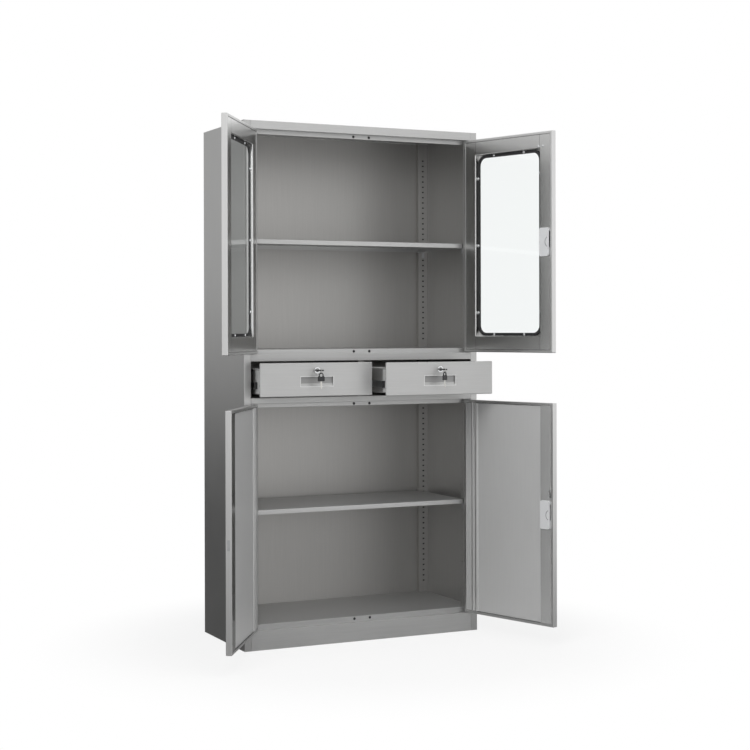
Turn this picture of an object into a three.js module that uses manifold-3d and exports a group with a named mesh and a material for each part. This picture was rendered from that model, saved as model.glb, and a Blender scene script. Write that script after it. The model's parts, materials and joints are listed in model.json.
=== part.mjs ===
// Stainless steel medical cabinet: two glazed doors above, two drawers, two solid doors below.
// Millimetres, +Z up, +X to the right seen from the front, the front faces -Y.
// The origin lies on the floor, in the middle of the front foot flange.

import * as THREE from 'three';
import { mergeVertices } from 'three/addons/utils/BufferGeometryUtils.js';
import Module from 'manifold-3d';

const wasm = await Module();
wasm.setup();

// Carcass
const WIDTH = 900;
const DEPTH = 400;
const HEIGHT = 1800;
const SHEET = 1.2;
const SEAM = 0.3;
const STILE_WIDTH = 25;
const REAR_RETURN = 20;

// Heights up the front
const PLINTH_HEIGHT = 66;
const LOWER_OPENING = 772;
const DRAWER_RAIL = 20;
const DRAWER_OPENING = 124;
const UPPER_RAIL = 24;
const HEADER = 28;

// Folds behind the front plane
const FOOT_FLANGE = 30;
const RAIL_RETURN = 20;
const BOTTOM_STEP = 18;
const UPPER_STEP = 16;
const CEILING_LIP = 15;
const HEADER_LIP = 15;
const SIDE_LIP = 15;
const SIDE_LEG = 27;

// Slotted shelf uprights
const UPRIGHT_FACE = 39;
const UPRIGHT_SETBACK = 18;
const SLOT_WIDTH = 8;
const SLOT_HEIGHT = 5;
const SLOT_PITCH = 20;
const SLOT_TOP_MARGIN = 22;
const SLOT_BOTTOM_MARGIN = 30;
const SLOT_CLEARANCE = 0.4;

// Shelves and their clips
const UPPER_SHELF_TOP = 1400;
const LOWER_SHELF_TOP = 474;
const SHELF_EDGE = 16;
const SHELF_END_GAP = 1.5;
const SHELF_FRONT_GAP = 6;
const SHELF_REAR_GAP = 4;
const CLIP_SHEET = 1.2;
const CLIP_WIDTH = 10;
const CLIP_DROP = 20;
const CLIP_LEDGE = 20;
const CLIP_TONGUE = 3;

// Doors
const DOOR_THICKNESS = 20;
const DOOR_SHEET = 1;
const DOOR_LIP = 9;
const DOOR_GAP = 2;
const HINGE_GAP = 2.5;
const MEETING_GAP = 3;
const BUMPER_ROOM = 3;
const PIVOT_INSET = 5.5;
const PIVOT_DEPTH = 4;
const PIN_RADIUS = 2.5;
const PIN_CLEARANCE = 0.3;
const PIN_ENGAGEMENT = 6;
const PIN_HEAD_RADIUS = 5;
const PIN_HEAD_HEIGHT = 2;
const COLLAR_RADIUS = 5;
const UPPER_LEFT_ANGLE = 124.3;
const UPPER_RIGHT_ANGLE = 106.9;
const LOWER_LEFT_ANGLE = 122.8;
const LOWER_RIGHT_ANGLE = 107.2;

// Glazing of the upper doors
const LINER_STILE = 58;
const WINDOW_INSET = 10;
const WINDOW_RADIUS = 28;
const GASKET_OVERHANG = 9;
const GASKET_LIP = 1;
const GASKET_THICKNESS = 8;
const GLASS_THICKNESS = 4;
const GLASS_GRIP = 5;
const GLAZING_CLEARANCE = 0.3;

// Inner panels of the lower doors
const HINGE_BAND = 66;
const FREE_BAND = 59;
const PANEL_SINK = 2;

// Lock, pull and inner cover of the right-hand doors
const LOCK_INSET = 24;
const COVER_WIDTH = 42;
const COVER_HEIGHT = 98;
const COVER_RADIUS = 8;
const COVER_PROUD = 7;
const COVER_WALL = 1.5;
const PULL_WIDTH = 40;
const PULL_HEIGHT = 104;
const PULL_RADIUS = 6;
const PULL_FLANGE = 2;
const PULL_CUP_WIDTH = 28;
const PULL_CUP_HEIGHT = 54;
const PULL_CUP_DEPTH = 13;
const PULL_WALL = 1.5;
const PULL_CUP_DROP = 18;
const BARREL_RISE = 30;
const BARREL_RADIUS = 8;
const BARREL_CLEARANCE = 0.4;
const BOSS_RADIUS = 11;
const BARREL_FACE = 1;
const CAM_WIDTH = 10;
const CAM_REACH = 48;
const CAM_THICKNESS = 2;

// Drawers
const FRONT_THICKNESS = 6;
const FRONT_SIDE_GAP = 4;
const FRONT_CENTRE_GAP = 8;
const FRONT_END_GAP = 4.5;
const FRONT_RETURN = 20;
const LEFT_PULLED = 72.4;
const RIGHT_PULLED = 164.1;
const POST_WIDTH = 24;
const TRAY_RISE = 8;
const TRAY_HEIGHT = 87;
const RUNNER_LENGTH = 330;
const RUNNER_SETBACK = 24;
const SLIDE_SETBACK = 58;
const RUNNER_HEIGHT = 27;
const RUNNER_SHEET = 1.2;
const RUNNER_PAIR = 12.7;
const RAIL_INSET = 2.6;
const RUNNER_CHANNEL = 9;
const RUNNER_PLAY = 0.3;
const RUNNER_RISE = 17;
const BRACKET_FLANGE = 18;

// Finger pull stamped in a drawer front
const SCOOP_WIDTH = 120;
const SCOOP_HEIGHT = 32;
const SCOOP_DEPTH = 6.5;
const SCOOP_RISE = 34.5;
const SCOOP_SLOPE = 9.5;

// Drawer lock and keys
const LOCK_DROP = 26;
const BEZEL_RADIUS = 11;
const BEZEL_PROUD = 3;
const HOUSING_RADIUS = 9;
const HOUSING_LENGTH = 17;
const PLUG_RADIUS = 6.5;
const PLUG_CLEARANCE = 0.3;
const LOCK_CAM_REACH = 38;
const KEY_SHANK = 9;
const KEY_BLADE_WIDTH = 7;
const KEY_THICKNESS = 3;
const BOW_WIDTH = 25;
const BOW_LENGTH = 24;
const BOW_EYE_RADIUS = 3.2;
const BOW_EYE_MARGIN = 3;
const RING_RADIUS = 7;
const RING_WIRE = 0.8;
const SPARE_HEAD_WIDTH = 25;
const SPARE_HEAD_HEIGHT = 26;
const SPARE_BLADE_WIDTH = 6;
const SPARE_BLADE_LENGTH = 24;
const SPARE_THICKNESS = 3;
const SPARE_EYE_RADIUS = 5;
const SPARE_EYE_MARGIN = 3;
const LEFT_SPARE_TURN = 0;
const RIGHT_SPARE_TURN = 27;

// Derived places, in the carcass frame: floor at z = 0, Y = 0 half way back
const front = -DEPTH / 2;
const rear = DEPTH / 2;
const wallInside = WIDTH / 2 - SHEET;
const jamb = WIDTH / 2 - STILE_WIDTH;
const lipEnd = jamb - SIDE_LIP;
const stopPlane = front + DOOR_THICKNESS + BUMPER_ROOM;
const backPanelFront = rear - 2 * SHEET;
const postFront = stopPlane + SHEET + SEAM;
const lowerTop = PLINTH_HEIGHT + LOWER_OPENING;
const drawerBottom = lowerTop + DRAWER_RAIL;
const drawerTop = drawerBottom + DRAWER_OPENING;
const upperBottom = drawerTop + UPPER_RAIL;
const upperTop = HEIGHT - HEADER;
const bottomDeckTop = PLINTH_HEIGHT + BOTTOM_STEP;
const ceilingFace = lowerTop - CEILING_LIP;
const upperDeckTop = upperBottom + UPPER_STEP;
const uprightFront = rear - 2 * SHEET - UPRIGHT_SETBACK;
const uprightInner = wallInside - UPRIGHT_FACE;
const slotX = (uprightInner + wallInside) / 2;
const legMiddle = stopPlane + (SIDE_LEG + SHEET) / 2;
const legEnd = stopPlane + SIDE_LEG;
const pivotX = jamb - HINGE_GAP - PIVOT_INSET;
const pivotY = front + PIVOT_DEPTH;
const doorWidth = jamb - HINGE_GAP - MEETING_GAP / 2;
const upperDoorHeight = upperTop - upperBottom - 2 * DOOR_GAP;
const lowerDoorHeight = LOWER_OPENING - 2 * DOOR_GAP;

function point(x, y) {
  return new THREE.Vector2(x, y);
}

// A closed outline through corner points given as [a, b] pairs.
function outline(corners) {
  return new THREE.Shape(corners.map(([a, b]) => point(a, b)));
}

// A strip of sheet bent along the given outer line, with its thickness to the left of the line.
function bentSheet(corners, thickness) {
  const line = corners.map(([a, b]) => point(a, b));
  const normals = line.slice(1).map((end, i) => {
    const along = end.clone().sub(line[i]).normalize();
    return point(-along.y, along.x);
  });
  const inner = line.map((corner, i) => {
    const before = normals[Math.max(i - 1, 0)];
    const after = normals[Math.min(i, normals.length - 1)];
    const mitre = before.clone().add(after).divideScalar(1 + before.dot(after));
    return corner.clone().addScaledVector(mitre, thickness);
  });
  return new THREE.Shape([...line, ...inner.reverse()]);
}

function roundedRect(width, height, radius, x = 0, y = 0) {
  const shape = new THREE.Shape();
  const right = x + width / 2 - radius;
  const left = x - width / 2 + radius;
  const top = y + height / 2 - radius;
  const bottom = y - height / 2 + radius;
  shape.absarc(right, top, radius, 0, Math.PI / 2);
  shape.absarc(left, top, radius, Math.PI / 2, Math.PI);
  shape.absarc(left, bottom, radius, Math.PI, 1.5 * Math.PI);
  shape.absarc(right, bottom, radius, 1.5 * Math.PI, 2 * Math.PI);
  return shape;
}

function disc(radius, x = 0, y = 0) {
  const shape = new THREE.Shape();
  shape.absarc(x, y, radius, 0, 2 * Math.PI);
  return shape;
}

const X_AXIS = new THREE.Vector3(1, 0, 0);
const Y_AXIS = new THREE.Vector3(0, 1, 0);
const Z_AXIS = new THREE.Vector3(0, 0, 1);
const ARC_STEPS = 3;
const DISC_STEPS = 6;
const RING_STEPS = 20;

function extrude(shape, depth, steps = ARC_STEPS) {
  return new THREE.ExtrudeGeometry(shape, { depth, bevelEnabled: false, curveSegments: steps });
}

// Extrusions of an outline drawn in (y, z), in (x, z) and in (x, y).
function alongX(shape, from, to, steps) {
  const basis = new THREE.Matrix4().makeBasis(Y_AXIS, Z_AXIS, X_AXIS);
  return extrude(shape, to - from, steps).applyMatrix4(basis).translate(from, 0, 0);
}

function alongY(shape, from, to, steps) {
  const basis = new THREE.Matrix4().makeBasis(X_AXIS, Z_AXIS, Y_AXIS.clone().negate());
  return extrude(shape, to - from, steps).applyMatrix4(basis).translate(0, to, 0);
}

function alongZ(shape, from, to, steps) {
  return extrude(shape, to - from, steps).translate(0, 0, from);
}

function block(x0, x1, y0, y1, z0, z1) {
  const box = new THREE.BoxGeometry(Math.abs(x1 - x0), Math.abs(y1 - y0), Math.abs(z1 - z0));
  return box.translate((x0 + x1) / 2, (y0 + y1) / 2, (z0 + z1) / 2);
}

function rodZ(radius, x, y, z0, z1) {
  return alongZ(disc(radius, x, y), z0, z1, DISC_STEPS);
}

function rodY(radius, x, z, y0, y1) {
  return alongY(disc(radius, x, z), y0, y1, DISC_STEPS);
}

function toSolid(geometry) {
  const bare = geometry.clone();
  bare.deleteAttribute('normal');
  bare.deleteAttribute('uv');
  const merged = mergeVertices(bare);
  const vertProperties = new Float32Array(merged.attributes.position.array);
  const triVerts = new Uint32Array(merged.index.array);
  return new wasm.Manifold(new wasm.Mesh({ numProp: 3, vertProperties, triVerts }));
}

function toGeometry(solid) {
  const mesh = solid.getMesh();
  const geometry = new THREE.BufferGeometry();
  geometry.setAttribute('position', new THREE.BufferAttribute(mesh.vertProperties, 3));
  geometry.setIndex(new THREE.BufferAttribute(mesh.triVerts, 1));
  return geometry;
}

function join(...geometries) {
  return toGeometry(geometries.map(toSolid).reduce((whole, next) => whole.add(next)));
}

function cut(geometry, ...tools) {
  const tool = tools.map(toSolid).reduce((whole, next) => whole.add(next));
  return toGeometry(toSolid(geometry).subtract(tool));
}

const FINISHES = {
  stainless: { color: 0xb4b4b1, roughness: 0.38, metalness: 0.9 },
  zinc: { color: 0xa9abac, roughness: 0.45, metalness: 0.8 },
  chrome: { color: 0xd4d6d8, roughness: 0.12, metalness: 1 },
  glass: { color: 0xdfeae6, roughness: 0.03, metalness: 0, transparent: true, opacity: 0.25 },
  rubber: { color: 0x1c1c1c, roughness: 0.8, metalness: 0 },
  whitePlastic: { color: 0xeceef0, roughness: 0.4, metalness: 0 },
  greyPlastic: { color: 0x6d7073, roughness: 0.5, metalness: 0 },
  blackPlastic: { color: 0x18181a, roughness: 0.45, metalness: 0 },
};

function piece(name, geometry, finish) {
  const mesh = new THREE.Mesh(geometry, new THREE.MeshStandardMaterial(FINISHES[finish]));
  mesh.name = name;
  return mesh;
}

const carcass = new THREE.Group();
const SIDES = [['left', -1], ['right', 1]];

// Heights of the shelf slots in the upper and the lower compartment.
// Each row is set out from the shelf that hangs in it, so that the clips meet a slot.
function slotRow(floor, ceiling, shelfTop) {
  const anchor = shelfTop - SHELF_EDGE - CLIP_DROP / 2;
  const lowest = anchor - SLOT_PITCH * Math.floor((anchor - floor - SLOT_BOTTOM_MARGIN) / SLOT_PITCH);
  const heights = [];
  for (let z = lowest; z <= ceiling - SLOT_TOP_MARGIN; z += SLOT_PITCH) {
    heights.push(z);
  }
  return heights;
}

const slotHeights = [
  ...slotRow(bottomDeckTop, ceilingFace, LOWER_SHELF_TOP),
  ...slotRow(upperDeckTop, upperTop - HEADER_LIP, UPPER_SHELF_TOP),
];

// Side panels: one sheet bent into rear return, wall, front stile, door jamb, stop lip and slotted leg.
// The lip and the leg are cut away where the drawers pass.
function sidePanel(side) {
  const line = [
    [WIDTH / 2 - REAR_RETURN, rear],
    [WIDTH / 2, rear],
    [WIDTH / 2, front],
    [jamb, front],
    [jamb, stopPlane],
    [lipEnd, stopPlane],
    [lipEnd, legEnd],
  ];
  const mirrored = line.map(([x, y]) => [side * x, y]);
  const ordered = side < 0 ? mirrored : mirrored.reverse();
  const sheet = alongZ(bentSheet(ordered, SHEET), 0, HEIGHT - SHEET);
  const passage = block(
    side * (lipEnd - SHEET), side * (jamb + 2 * SHEET),
    stopPlane, legEnd + SHEET,
    drawerBottom, drawerTop,
  );
  const slots = slotHeights.map((z) => block(
    side * (lipEnd - SHEET), side * (lipEnd + 2 * SHEET),
    legMiddle - SLOT_WIDTH / 2, legMiddle + SLOT_WIDTH / 2,
    z - SLOT_HEIGHT / 2, z + SLOT_HEIGHT / 2,
  ));
  return cut(sheet, passage, ...slots);
}

for (const [hand, side] of SIDES) {
  carcass.add(piece(`${hand}_side_panel`, sidePanel(side), 'stainless'));
}

carcass.add(piece('back_panel', block(
  -wallInside + SEAM, wallInside - SEAM,
  backPanelFront, backPanelFront + SHEET,
  0, HEIGHT - SHEET - SEAM,
), 'stainless'));

// A folded rail between the stiles. Beyond the stop plane it is narrower, to pass between the side lips.
function railBetweenStiles(line) {
  const reach = jamb - SEAM;
  const lipReach = lipEnd - SEAM;
  const folded = alongX(bentSheet(line, SHEET), -reach, reach);
  const heights = line.map(([, z]) => z);
  const low = Math.min(...heights) - SHEET;
  const high = Math.max(...heights) + SHEET;
  const corners = SIDES.map(([, side]) => block(
    side * lipReach, side * (reach + SHEET),
    stopPlane - SEAM, rear,
    low, high,
  ));
  return cut(folded, ...corners);
}

// A floor or ceiling sheet, notched round the slotted legs in front and the uprights behind.
function deckSheet(z0, z1) {
  const lipReach = lipEnd - SEAM;
  const wall = wallInside - SEAM;
  const back = backPanelFront - SEAM;
  const upright = uprightFront - SEAM;
  const leg = legEnd + SEAM;
  return alongZ(outline([
    [-lipReach, stopPlane], [lipReach, stopPlane],
    [lipReach, leg], [wall, leg],
    [wall, upright], [uprightInner - SEAM, upright],
    [uprightInner - SEAM, back], [-uprightInner + SEAM, back],
    [-uprightInner + SEAM, upright], [-wall, upright],
    [-wall, leg], [-lipReach, leg],
  ]), z0, z1);
}

// A hinge stud on a door's lower ledge, with the collar that carries the door.
function hingeStud(side, ledge) {
  const x = side * pivotX;
  return [
    rodZ(COLLAR_RADIUS, x, front + COLLAR_RADIUS, ledge - SHEET / 2, ledge + DOOR_GAP - SEAM),
    rodZ(PIN_RADIUS, x, pivotY, ledge - SHEET / 2, ledge + DOOR_GAP + DOOR_SHEET + PIN_ENGAGEMENT),
  ];
}

function pinHole(side, ledge) {
  return rodZ(PIN_RADIUS + PIN_CLEARANCE, side * pivotX, pivotY, ledge - SHEET, ledge + 2 * SHEET);
}

const headerRail = railBetweenStiles([
  [front, HEIGHT - SHEET / 2],
  [front, upperTop],
  [stopPlane, upperTop],
  [stopPlane, upperTop - HEADER_LIP],
]);
const lid = block(-WIDTH / 2, WIDTH / 2, front, rear, HEIGHT - SHEET, HEIGHT);
carcass.add(piece('top_panel', cut(
  join(lid, headerRail),
  pinHole(-1, upperTop),
  pinHole(1, upperTop),
), 'stainless'));

const upperRail = railBetweenStiles([
  [stopPlane + SHEET, upperDeckTop],
  [stopPlane, upperDeckTop],
  [stopPlane, upperBottom],
  [front, upperBottom],
  [front, drawerTop],
  [front + RAIL_RETURN, drawerTop],
]);
carcass.add(piece('upper_deck', join(
  upperRail,
  deckSheet(upperDeckTop - SHEET, upperDeckTop),
  ...hingeStud(-1, upperBottom),
  ...hingeStud(1, upperBottom),
), 'stainless'));

const drawerRail = railBetweenStiles([
  [front + RAIL_RETURN, drawerBottom],
  [front, drawerBottom],
  [front, lowerTop],
  [stopPlane, lowerTop],
  [stopPlane, ceilingFace],
  [stopPlane + SHEET, ceilingFace],
]);
carcass.add(piece('drawer_deck', cut(
  join(drawerRail, deckSheet(ceilingFace, ceilingFace + SHEET)),
  pinHole(-1, lowerTop),
  pinHole(1, lowerTop),
), 'stainless'));

const plinth = railBetweenStiles([
  [stopPlane + SHEET, bottomDeckTop],
  [stopPlane, bottomDeckTop],
  [stopPlane, PLINTH_HEIGHT],
  [front, PLINTH_HEIGHT],
  [front, 0],
  [front + FOOT_FLANGE, 0],
]);
carcass.add(piece('bottom_deck', join(
  plinth,
  deckSheet(bottomDeckTop - SHEET, bottomDeckTop),
  ...hingeStud(-1, PLINTH_HEIGHT),
  ...hingeStud(1, PLINTH_HEIGHT),
), 'stainless'));

// Upper hinge pins drop through the ledge into the door and hang by their heads.
for (const [level, ledge] of [['upper', upperTop], ['lower', lowerTop]]) {
  for (const [hand, side] of SIDES) {
    const x = side * pivotX;
    const seat = ledge + SHEET;
    carcass.add(piece(`${level}_${hand}_hinge_pin`, join(
      rodZ(PIN_HEAD_RADIUS, x, front + PIN_HEAD_RADIUS + 2 * SHEET, seat, seat + PIN_HEAD_HEIGHT),
      rodZ(PIN_RADIUS, x, pivotY, ledge - DOOR_GAP - DOOR_SHEET - PIN_ENGAGEMENT, seat + PIN_HEAD_HEIGHT),
    ), 'zinc'));
  }
}

// Rear uprights: an angle in each back corner, slotted down its face.
for (const [hand, side] of SIDES) {
  const wall = wallInside - SEAM;
  const face = outline([
    [side * uprightInner, 0], [side * wall, 0],
    [side * wall, HEIGHT - SHEET - SEAM], [side * uprightInner, HEIGHT - SHEET - SEAM],
  ]);
  for (const z of slotHeights) {
    const slot = [
      [side * slotX - SLOT_WIDTH / 2, z - SLOT_HEIGHT / 2],
      [side * slotX + SLOT_WIDTH / 2, z - SLOT_HEIGHT / 2],
      [side * slotX + SLOT_WIDTH / 2, z + SLOT_HEIGHT / 2],
      [side * slotX - SLOT_WIDTH / 2, z + SLOT_HEIGHT / 2],
    ];
    face.holes.push(outline(slot));
  }
  carcass.add(piece(`${hand}_rear_upright`, join(
    alongY(face, uprightFront, uprightFront + SHEET),
    block(
      side * uprightInner, side * (uprightInner + SHEET),
      uprightFront, backPanelFront - SEAM,
      0, HEIGHT - SHEET - SEAM,
    ),
  ), 'stainless'));
}

// Shelves: shallow trays turned upside down, hung on a clip at each corner.
const shelfReach = lipEnd - SHELF_END_GAP;
const shelfFront = stopPlane + SHELF_FRONT_GAP;
const shelfRear = uprightFront - SHELF_REAR_GAP;
for (const [level, top] of [['upper', UPPER_SHELF_TOP], ['lower', LOWER_SHELF_TOP]]) {
  carcass.add(piece(`${level}_shelf`, cut(
    block(-shelfReach, shelfReach, shelfFront, shelfRear, top - SHELF_EDGE, top),
    block(
      -shelfReach + SHEET, shelfReach - SHEET,
      shelfFront + SHEET, shelfRear - SHEET,
      top - SHELF_EDGE - SHEET, top - SHEET,
    ),
  ), 'stainless'));
  const seat = top - SHELF_EDGE;
  const slotMiddle = seat - CLIP_DROP / 2;
  const tongue = SLOT_HEIGHT / 2 - SLOT_CLEARANCE;
  const tongueHalf = SLOT_WIDTH / 2 - SLOT_CLEARANCE;
  for (const [hand, side] of SIDES) {
    const plateIn = side * (lipEnd - CLIP_SHEET);
    const legFace = side * lipEnd;
    carcass.add(piece(`${level}_${hand}_front_clip`, join(
      block(
        plateIn, legFace,
        legMiddle - CLIP_WIDTH / 2, legMiddle + CLIP_WIDTH / 2,
        seat - CLIP_DROP, seat,
      ),
      block(
        side * (lipEnd - CLIP_LEDGE), legFace,
        legMiddle - CLIP_WIDTH / 2, legMiddle + CLIP_WIDTH / 2,
        seat - CLIP_SHEET, seat,
      ),
      block(
        plateIn, side * (lipEnd + SHEET + CLIP_TONGUE),
        legMiddle - tongueHalf, legMiddle + tongueHalf,
        slotMiddle - tongue, slotMiddle + tongue,
      ),
    ), 'zinc'));
    const plateFront = uprightFront - CLIP_SHEET;
    carcass.add(piece(`${level}_${hand}_rear_clip`, join(
      block(
        side * (slotX - CLIP_WIDTH / 2), side * (slotX + CLIP_WIDTH / 2),
        plateFront, uprightFront,
        seat - CLIP_DROP, seat,
      ),
      block(
        side * (shelfReach - CLIP_LEDGE / 2), side * (slotX + CLIP_WIDTH / 2),
        uprightFront - CLIP_LEDGE, uprightFront,
        seat - CLIP_SHEET, seat,
      ),
      block(
        side * slotX - tongueHalf, side * slotX + tongueHalf,
        plateFront, uprightFront + SHEET + CLIP_TONGUE,
        slotMiddle - tongue, slotMiddle + tongue,
      ),
    ), 'zinc'));
  }
}

// Drawer divider: a channel standing between the two decks, open behind.
const dividerTop = upperDeckTop - SHEET;
const dividerBottom = ceilingFace + SHEET;
carcass.add(piece('drawer_divider', alongZ(bentSheet([
  [-POST_WIDTH / 2, backPanelFront - SEAM],
  [-POST_WIDTH / 2, postFront],
  [POST_WIDTH / 2, postFront],
  [POST_WIDTH / 2, backPanelFront - SEAM],
], SHEET), dividerBottom, dividerTop), 'stainless'));

// Drawer runners, drawn for the right-hand drawer and mirrored by side.
const runnerMiddle = drawerBottom + FRONT_END_GAP + TRAY_RISE + RUNNER_RISE + RUNNER_HEIGHT / 2;
const runnerFront = front + RUNNER_SETBACK;
const runnerRear = runnerFront + RUNNER_LENGTH;
const trayInner = POST_WIDTH / 2 + RUNNER_PAIR;
const railOuter = jamb - RAIL_INSET;
const trayOuter = railOuter - RUNNER_PAIR;

// A channel whose web lies at x = base and whose flanges point along the sign of grow.
function channel(base, grow, half, depth) {
  const tip = base + grow * depth;
  const web = base + grow * RUNNER_SHEET;
  const corners = [
    [base, -half], [tip, -half], [tip, -half + RUNNER_SHEET], [web, -half + RUNNER_SHEET],
    [web, half - RUNNER_SHEET], [tip, half - RUNNER_SHEET], [tip, half], [base, half],
  ];
  return outline(corners.map(([x, z]) => [x, z + runnerMiddle]));
}

for (const [hand, side] of SIDES) {
  const inner = alongY(
    channel(side * POST_WIDTH / 2, side, RUNNER_HEIGHT / 2, RUNNER_CHANNEL),
    runnerFront, runnerRear,
  );
  carcass.add(piece(`${hand}_drawer_inner_rail`, inner, 'zinc'));
  const outer = alongY(
    channel(side * railOuter, -side, RUNNER_HEIGHT / 2, RUNNER_CHANNEL),
    runnerFront, runnerRear,
  );
  const shelfZ = runnerMiddle - RUNNER_HEIGHT / 2;
  const bracket = alongY(outline([
    [side * (railOuter - RUNNER_SHEET), shelfZ],
    [side * wallInside, shelfZ],
    [side * wallInside, shelfZ + BRACKET_FLANGE],
    [side * (wallInside - RUNNER_SHEET), shelfZ + BRACKET_FLANGE],
    [side * (wallInside - RUNNER_SHEET), shelfZ + RUNNER_SHEET],
    [side * (railOuter - RUNNER_SHEET), shelfZ + RUNNER_SHEET],
  ]), runnerFront, runnerRear);
  carcass.add(piece(`${hand}_drawer_outer_rail`, join(outer, bracket), 'zinc'));
}

// Drawers, drawn closed with the front plane at y = 0 and slid out by their group.
function drawer(hand, side, pulled, spareTurn) {
  const group = new THREE.Group();
  group.position.y = front - pulled;
  const frontInner = side * FRONT_CENTRE_GAP / 2;
  const frontOuter = side * (jamb - FRONT_SIDE_GAP);
  const middle = (frontInner + frontOuter) / 2;
  const inward = Math.sign(frontInner - frontOuter);
  const bottom = drawerBottom + FRONT_END_GAP;
  const top = drawerTop - FRONT_END_GAP;
  const lockZ = top - LOCK_DROP;
  const scoopZ = bottom + SCOOP_RISE + SCOOP_HEIGHT / 2;

  // Front: a folded pan with the finger pull pressed into it.
  const left = Math.min(frontInner, frontOuter);
  const right = Math.max(frontInner, frontOuter);
  const pan = cut(
    block(left, right, 0, FRONT_THICKNESS, bottom, top),
    block(left + SHEET, right - SHEET, SHEET, FRONT_THICKNESS - SHEET, bottom + SHEET, top - SHEET),
    block(
      left + FRONT_RETURN, right - FRONT_RETURN,
      FRONT_THICKNESS - 2 * SHEET, FRONT_THICKNESS + SHEET,
      bottom + FRONT_RETURN, top - FRONT_RETURN,
    ),
  );
  const scoopLow = scoopZ - SCOOP_HEIGHT / 2;
  const scoopHigh = scoopZ + SCOOP_HEIGHT / 2;
  const hollow = outline([
    [-SHEET, scoopLow], [0, scoopLow], [SCOOP_DEPTH, scoopLow + SCOOP_SLOPE],
    [SCOOP_DEPTH, scoopHigh], [-SHEET, scoopHigh],
  ]);
  const shell = outline([
    [SHEET / 2, scoopLow - SHEET], [SHEET, scoopLow - SHEET],
    [SCOOP_DEPTH + SHEET, scoopLow + SCOOP_SLOPE - SHEET],
    [SCOOP_DEPTH + SHEET, scoopHigh + SHEET], [SHEET / 2, scoopHigh + SHEET],
  ]);
  const scoopHalf = SCOOP_WIDTH / 2;
  group.add(piece(`${hand}_drawer_front`, cut(
    join(pan, alongX(shell, middle - scoopHalf - SHEET, middle + scoopHalf + SHEET)),
    alongX(hollow, middle - scoopHalf, middle + scoopHalf),
    rodY(HOUSING_RADIUS + PLUG_CLEARANCE, middle, lockZ, -SHEET, FRONT_THICKNESS + SHEET),
  ), 'stainless'));

  // Tray: a welded sheet box, open at the top and closed in front by the drawer front.
  const trayA = side * trayInner;
  const trayB = side * trayOuter;
  const trayLow = Math.min(trayA, trayB);
  const trayHigh = Math.max(trayA, trayB);
  const trayBottom = bottom + TRAY_RISE;
  const trayTop = trayBottom + TRAY_HEIGHT;
  const trayBack = RUNNER_SETBACK + RUNNER_LENGTH;
  group.add(piece(`${hand}_drawer_tray`, cut(
    block(trayLow, trayHigh, FRONT_THICKNESS, trayBack, trayBottom, trayTop),
    block(
      trayLow + SHEET, trayHigh - SHEET,
      FRONT_THICKNESS - SHEET, trayBack - SHEET,
      trayBottom + SHEET, trayTop + SHEET,
    ),
  ), 'stainless'));

  // Slides screwed to the tray, running inside the carcass rails.
  const slideHalf = RUNNER_HEIGHT / 2 - RUNNER_SHEET - RUNNER_PLAY;
  group.add(piece(`${hand}_drawer_inner_slide`, alongY(
    channel(trayA - side * SEAM, -side, slideHalf, RUNNER_CHANNEL),
    SLIDE_SETBACK, trayBack,
  ), 'zinc'));
  group.add(piece(`${hand}_drawer_outer_slide`, alongY(
    channel(trayB + side * SEAM, side, slideHalf, RUNNER_CHANNEL),
    SLIDE_SETBACK, trayBack,
  ), 'zinc'));

  // Lock: a chromed housing through the front, and the plug with its cam and the key.
  const plugEnd = RAIL_RETURN + SEAM;
  const faceY = -BEZEL_PROUD;
  group.add(piece(`${hand}_drawer_lock`, cut(
    join(
      rodY(BEZEL_RADIUS, middle, lockZ, faceY, -SEAM),
      rodY(HOUSING_RADIUS, middle, lockZ, faceY / 2, HOUSING_LENGTH),
    ),
    rodY(PLUG_RADIUS + PLUG_CLEARANCE, middle, lockZ, faceY - SHEET, HOUSING_LENGTH + SHEET),
  ), 'chrome'));
  const bowStart = faceY - KEY_SHANK;
  const bowTip = bowStart - BOW_LENGTH;
  const eyeY = bowTip + BOW_EYE_MARGIN + BOW_EYE_RADIUS;
  const halfKey = KEY_THICKNESS / 2;
  const bow = roundedRect(BOW_WIDTH, BOW_LENGTH, BOW_LENGTH / 3, middle, bowStart - BOW_LENGTH / 2);
  bow.holes.push(disc(BOW_EYE_RADIUS, middle, eyeY));
  group.add(piece(`${hand}_drawer_key`, join(
    rodY(PLUG_RADIUS, middle, lockZ, faceY, plugEnd + CAM_THICKNESS),
    block(
      middle, middle + inward * LOCK_CAM_REACH,
      plugEnd, plugEnd + CAM_THICKNESS,
      lockZ - CAM_WIDTH / 2, lockZ + CAM_WIDTH / 2,
    ),
    block(
      middle - KEY_BLADE_WIDTH / 2, middle + KEY_BLADE_WIDTH / 2,
      bowStart - SHEET, faceY + SHEET,
      lockZ - halfKey / 2, lockZ + halfKey / 2,
    ),
    alongZ(bow, lockZ - halfKey, lockZ + halfKey),
  ), 'blackPlastic'));

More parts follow.
